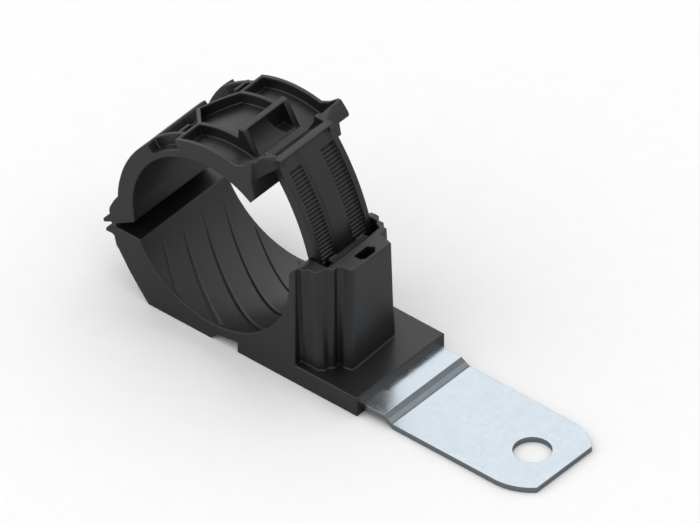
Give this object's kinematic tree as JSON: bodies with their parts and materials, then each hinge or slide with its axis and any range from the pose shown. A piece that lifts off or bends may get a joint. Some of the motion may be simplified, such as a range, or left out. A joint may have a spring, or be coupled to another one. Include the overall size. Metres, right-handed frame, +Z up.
{
  "type": "ratchet p clip on mounting plate",
  "caption": "Hinged moulded cable clamp with a toothed ratchet strap, on a flat cranked steel plate with a bolt hole in its rounded end.",
  "frame": {"origin": "centre of the bolt hole in the plate, on the plate's underside", "axes": "+X along the plate away from the clamp, +Y across the clip along the bundle, +Z up through the bolt hole"},
  "size_m": [0.0869, 0.0214, 0.0403],
  "materials": {
    "black_nylon": "satin moulded nylon",
    "galvanised_steel": "bright zinc coated sheet"
  },
  "bodies": {
    "base": {"clamp_base": "black_nylon", "mounting_plate": "galvanised_steel", "film_hinge": "black_nylon", "ratchet_pawl": "black_nylon"},
    "arm": {"strap_arm": "black_nylon"}
  },
  "joints": [
    {"name": "strap_hinge", "type": "hinge", "parent": "base", "child": "arm", "pos_m": [-0.07835, 0, 0.0125], "axis": [0, -1, 0], "range_deg": [-22, 18], "deforming": ["film_hinge", "ratchet_pawl"]}
  ]
}
